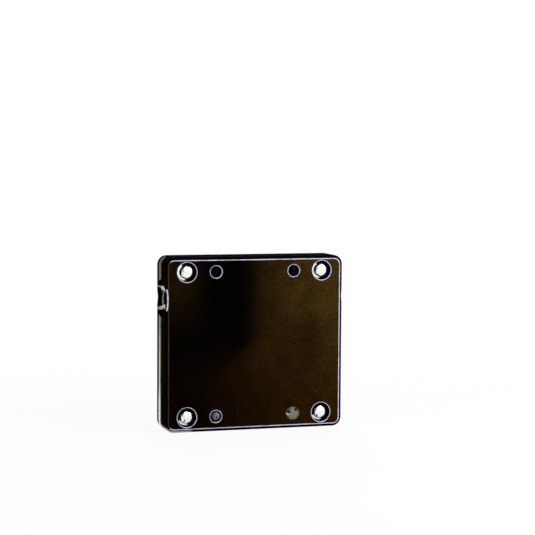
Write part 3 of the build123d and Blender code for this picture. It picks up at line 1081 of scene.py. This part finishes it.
@dataclass
class ThreadedFastener:
    """A bolt or screw whose shank gets a cut thread from just inside its nut to its end."""

    node: str
    nut: str
    pitch: float
    chamfer: float
    inside: float = 2.2 * MM
    sharp: float = math.radians(32.0)

    def build(self, material: bpy.types.Material) -> None:
        """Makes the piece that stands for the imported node.

        Args:
            material: The finish of the whole fastener.
        """
        _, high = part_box(self.node)
        nut_low, nut_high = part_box(self.nut)
        x, z = (nut_low.x + nut_high.x) / 2, (nut_low.z + nut_high.z) / 2
        cut = nut_high.y - self.inside
        bm = merged_copy(self.node)
        crest = max(math.hypot(v.co.x - x, v.co.z - z) for v in bm.verts if v.co.y > nut_low.y)
        cut_off(bm, cut, 1)
        close_ends(bm)
        thread = CutThread(x, z, crest, self.pitch, cut, high.y, self.chamfer).build()
        mesh = bpy.data.meshes.new(f"{self.node}_threaded")
        thread.to_mesh(mesh)
        bm.from_mesh(mesh)
        smooth(bm, self.sharp)
        bm.to_mesh(mesh)
        for done in (thread, bm):
            done.free()
        mesh.materials.append(material)
        piece = put(mesh.name, mesh)
        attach(piece, BODY)
        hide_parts(self.node)
        LOG.info("%s: %d faces", piece.name, len(mesh.polygons))


@dataclass
class Boards:
    """The two boards."""

    finish: BoardFinish = BoardFinish()

    def build(self, effects: Effects, layout: BoardLayout) -> None:
        """Dresses both boards.

        Args:
            effects: The shared shader groups.
            layout: Where the holes are.
        """
        material = self.finish.material(effects, layout)
        for node in ("front_board", "back_board"):
            dress(node, material)
            LOG.info("%s dressed as %s", node, material.name)


@dataclass
class ThroughBolts:
    """The four bolts with their washers, lock nuts and plastic rings."""

    count: int = 4
    pitch: float = 1.27 * MM
    end_chamfer: float = 0.8 * MM
    head: SteelFinish = SteelFinish(Polish.TURNED, (0.95, 0.94, 0.92), (0.80, 0.79, 0.76))
    head_washer: SteelFinish = SteelFinish(Polish.STAMPED, (0.92, 0.91, 0.90))
    nut_washer: SteelFinish = SteelFinish(Polish.STAMPED)
    nut: SteelFinish = SteelFinish(Polish.ROLLED)
    ring: PlasticFinish = PlasticFinish(
        "insert_nylon", (0.60, 0.59, 0.53), (0.52, 0.50, 0.43), 0.42)

    def build(self, effects: Effects, layout: BoardLayout) -> None:
        """Dresses the washers, nuts and rings, and makes the threaded bolts.

        Args:
            effects: The shared shader groups.
            layout: Where the holes are.
        """
        recesses = Recesses(layout)
        turned = self.head.material(effects, "bolts", recesses.head_nicks)
        dressed = {
            "head_washer": self.head_washer.material(effects, "head_washers",
                                                     recesses.washer_shade),
            "nut_washer": self.nut_washer.material(effects, "nut_washers"),
            "lock_nut": self.nut.material(effects, "lock_nuts"),
            "nut_insert": self.ring.material(effects)}
        for number in range(1, self.count + 1):
            for node, material in dressed.items():
                dress(f"{node}_{number}", material)
            ThreadedFastener(f"hex_bolt_{number}", f"lock_nut_{number}", self.pitch,
                             self.end_chamfer).build(turned)


@dataclass
class InnerScrew:
    """The pan-head screw in the lower left inner hole, with its washer and nut."""

    LIT_CENTRE = 0.9 * MM
    RIM = (0.0026, 0.0046, 0.0, 0.9)
    WANDER = Mottle(500.0, 3.0, (0.3, 0.7, -0.0006, 0.0006))

    pitch: float = 1.06 * MM
    end_chamfer: float = 0.5 * MM
    inside: float = 1.6 * MM
    finish: SteelFinish = SteelFinish(Polish.DULLED, (0.24, 0.24, 0.25), (0.10, 0.10, 0.12))

    def build(self, effects: Effects, layout: BoardLayout) -> None:
        """Dresses the washer and the nut, and makes the threaded screw.

        Args:
            effects: The shared shader groups.
            layout: Where the holes are.
        """
        dull_and_shaded = self.finish.material(effects, "screw", partial(self._shaded_side, layout))
        for node in ("screw_washer", "screw_nut"):
            dress(node, dull_and_shaded)
        ThreadedFastener(
            "pan_screw", "screw_nut", self.pitch, self.end_chamfer, self.inside).build(dull_and_shaded)

    def _shaded_side(self, layout: BoardLayout, graph: Paint) -> Socket:
        """Mask of painted shade on the head's left side and round its rim.

        Args:
            layout: Where the holes are.
            graph: The tree to build in.

        Returns:
            The mask.
        """
        off_x, y, off_z = layout.from_lower_hole(graph, -1)
        reach = graph.reach(graph.minus(off_x, self.LIT_CENTRE), off_z)
        rim = graph.span(graph.math("ADD", reach, self.WANDER.at(graph)), *self.RIM)
        return graph.product(rim, graph.math("LESS_THAN", y, 0.0))


@dataclass
class InnerPlug:
    """The push-in plug in the lower right inner hole."""

    PIT = (-0.00473, 0.0, 0.00163)
    PIT_EDGE = (0.0023, 0.0019)
    SLOT = (0.00315, 0.0, 0.00389)
    SLOT_EDGE = (0.0021, 0.0016)
    SUNK_DEPTH = (0.00030, 0.00040)
    SUNK_REACH = (0.0066, 0.0062)
    FILM = (0.0040, 0.0080, 0.0, 0.9)
    WANDER = Mottle(500.0, 3.0, (0.3, 0.7, -0.0008, 0.0008))
    SCRAPED_WAY = (-0.82, 0.0, -0.57)
    SCRAPED_SIDE = (-0.1, 0.4)
    SCRAPED_INNER = (0.0020, 0.0024)
    SCRAPED_OUTER = (0.0036, 0.0030)
    SCRAPED_Y = (-0.0150, -0.0165)

    finish: PlasticFinish = PlasticFinish("plug", (0.225, 0.225, 0.165), (0.125, 0.12, 0.08), 0.6)

    def build(self, effects: Effects, layout: BoardLayout) -> None:
        """Dresses the plug."""
        dress("hole_plug", self.finish.material(effects, partial(self._soil_and_shade, layout),
                                                partial(self._scraped, layout)))

    def _scraped(self, layout: BoardLayout, graph: Paint) -> Socket:
        """Mask of the pale rim along the lower left of the pit.

        Args:
            layout: Where the holes are.
            graph: The tree to build in.

        Returns:
            The mask.
        """
        off_x, y, off_z = layout.from_lower_hole(graph, 1)
        out = graph.vector("SUBTRACT", graph.join(off_x, 0.0, off_z), self.PIT)
        reach = graph.vector("LENGTH", out)
        way = graph.vector("DOT_PRODUCT", graph.vector("NORMALIZE", out), self.SCRAPED_WAY)
        return graph.product(
            graph.span(reach, *self.SCRAPED_INNER), graph.span(reach, *self.SCRAPED_OUTER),
            graph.span(way, *self.SCRAPED_SIDE), graph.span(y, *self.SCRAPED_Y))

    def _soil_and_shade(self, layout: BoardLayout, graph: Paint) -> Socket:
        """Mask of painted shade and grime in the pit, the slot and round the sunk edge, and of a
        thinner film towards the rim.

        Args:
            layout: Where the holes are.
            graph: The tree to build in.

        Returns:
            The mask.
        """
        off_x, y, off_z = layout.from_lower_hole(graph, 1)
        level = graph.join(off_x, 0.0, off_z)
        reach = graph.vector("LENGTH", level)
        film = graph.span(graph.math("ADD", reach, self.WANDER.at(graph)), *self.FILM)
        depth = graph.math("ADD", y, layout.face)
        sunk = graph.product(
            graph.span(depth, *self.SUNK_DEPTH), graph.span(reach, *self.SUNK_REACH))
        pit = graph.span(graph.vector("DISTANCE", level, self.PIT), *self.PIT_EDGE)
        slot = graph.span(graph.vector("DISTANCE", level, self.SLOT), *self.SLOT_EDGE)
        return graph.largest(film, sunk, pit, slot)


@dataclass
class Viewpoint:
    """The photograph's camera. Degrees and metres, and the lens in millimetres."""

    azimuth: float = -16.718
    elevation: float = 4.303
    roll: float = 0.325
    distance: float = 1.7148
    lens: float = 112.0
    sensor: float = 36.0
    target: Point = (0.012985, -0.0198, 0.031192)

    def build(self) -> None:
        """Makes the camera and sets it as the scene's own."""
        a, e, r = (math.radians(angle) for angle in (self.azimuth, self.elevation, self.roll))
        back = Vector((math.sin(a) * math.cos(e), -math.cos(a) * math.cos(e), math.sin(e)))
        level_right = (-back).cross(Vector((0, 0, 1))).normalized()
        level_up = level_right.cross(-back)
        right = level_right * math.cos(r) + level_up * math.sin(r)
        up = level_up * math.cos(r) - level_right * math.sin(r)
        data = bpy.data.cameras.new("viewpoint")
        data.sensor_fit, data.sensor_width, data.lens = "HORIZONTAL", self.sensor, self.lens
        camera = put(data.name, data)
        turn = Matrix((right, up, back)).transposed().to_4x4()
        camera.matrix_world = Matrix.Translation(Vector(self.target) + back * self.distance) @ turn
        bpy.context.scene.camera = camera


@dataclass
class Lamp:
    """One soft area lamp that looks at a point. Metres and watts."""

    name: str
    place: Point
    power: float
    size: float
    in_reflections: bool = True
    look_at: Point = (0.0, 0.0, -0.047)

    def build(self) -> None:
        """Makes the lamp."""
        data = bpy.data.lights.new(self.name, "AREA")
        data.energy, data.shape, data.size = self.power, "SQUARE", self.size
        lamp = put(self.name, data)
        lamp.location = self.place
        lamp.visible_glossy = self.in_reflections
        way = Vector(self.look_at) - Vector(self.place)
        lamp.rotation_euler = way.to_track_quat("-Z", "Y").to_euler()


@dataclass
class Studio:
    """White background, pale floor and soft light, stronger from the right."""

    ambient: float = 0.14
    left_reflection: float = 0.16
    left_to_right: Ramp = (-0.32, 0.12)
    floor_half: float = 6.0
    floor_shade: Colour = (0.9, 0.9, 0.9)
    floor_glow: float = 0.9
    glow_radius: tuple[float, float] = (0.15, 0.75)
    lamps: Sequence[Lamp] = (
        Lamp("key", (0.42, -0.40, 0.30), 2.3, 0.3),
        Lamp("fill", (0.5, -1.5, 0.6), 8.0, 0.9),
        Lamp("left", (-1.1, -0.2, 0.15), 6.0, 0.7, False),
        Lamp("top", (0.3, 0.3, 1.2), 5.0, 0.8, False),
        Lamp("rear", (0.2, 1.2, 0.5), 9.0, 0.8, False),
    )

    def build(self) -> None:
        """Makes the world, the floor and the lamps, and sets the view transform."""
        scene = bpy.context.scene
        scene.view_settings.view_transform = "Standard"
        self._world(scene)
        self._floor()
        for lamp in self.lamps:
            lamp.build()

    def _world(self, scene: bpy.types.Scene) -> None:
        """White to the camera and in reflections, less so from the left, and soft grey light.

        Args:
            scene: The scene.
        """
        world = bpy.data.worlds.new("studio")
        scene.world = world
        world.use_nodes = True
        graph = Graph(world.node_tree)
        background = world.node_tree.nodes["Background"]
        background.inputs["Color"].default_value = (1.0, 1.0, 1.0, 1.0)
        way, _, _ = graph.split(graph.add("ShaderNodeTexCoord").outputs["Generated"])
        reflected = graph.span(way, *self.left_to_right, self.left_reflection, 1.0)
        rays = graph.add("ShaderNodeLightPath").outputs
        mirrored = graph.largest(rays["Is Glossy Ray"], rays["Is Transmission Ray"])
        strength = graph.largest(
            graph.product(mirrored, reflected), self.ambient, rays["Is Camera Ray"])
        graph.feed(background.inputs["Strength"], strength)

    def _floor(self) -> None:
        """A pale floor under the bracket that keeps its shadow."""
        bm = bmesh.new()
        bmesh.ops.create_grid(bm, x_segments=1, y_segments=1, size=self.floor_half)
        bmesh.ops.translate(bm, verts=bm.verts, vec=(0, 0, CAD_BOX[0].z))
        mesh = bpy.data.meshes.new("floor")
        bm.to_mesh(mesh)
        bm.free()
        graph = Paint("floor")
        graph.coat(Base_Color=(*self.floor_shade, 1.0), Roughness=1.0, Specular_IOR_Level=0.0)
        glowing = graph.span(
            graph.vector("LENGTH", graph.position), *self.glow_radius, self.floor_glow, 1.0)
        rays = graph.add("ShaderNodeLightPath").outputs
        seen = graph.largest(
            rays["Is Camera Ray"], rays["Is Glossy Ray"], rays["Is Transmission Ray"])
        glow = graph.add("ShaderNodeEmission").outputs[0]
        mix = graph.add(
            "ShaderNodeMixShader", graph.product(seen, glowing), graph.shader.outputs[0], glow)
        graph.feed(graph.tree.nodes["Material Output"].inputs["Surface"], mix.outputs[0])
        mesh.materials.append(graph.material)
        put("floor", mesh)


def main() -> None:
    """Builds the camera, the studio and the bracket's pieces, and reports each."""
    Viewpoint().build()
    Studio().build()
    effects, layout = Effects(), BoardLayout()
    for assembly in (Boards(), ThroughBolts(), InnerScrew(), InnerPlug()):
        assembly.build(effects, layout)
        LOG.info("%s built", type(assembly).__name__)


if __name__ == "__main__":
    main()
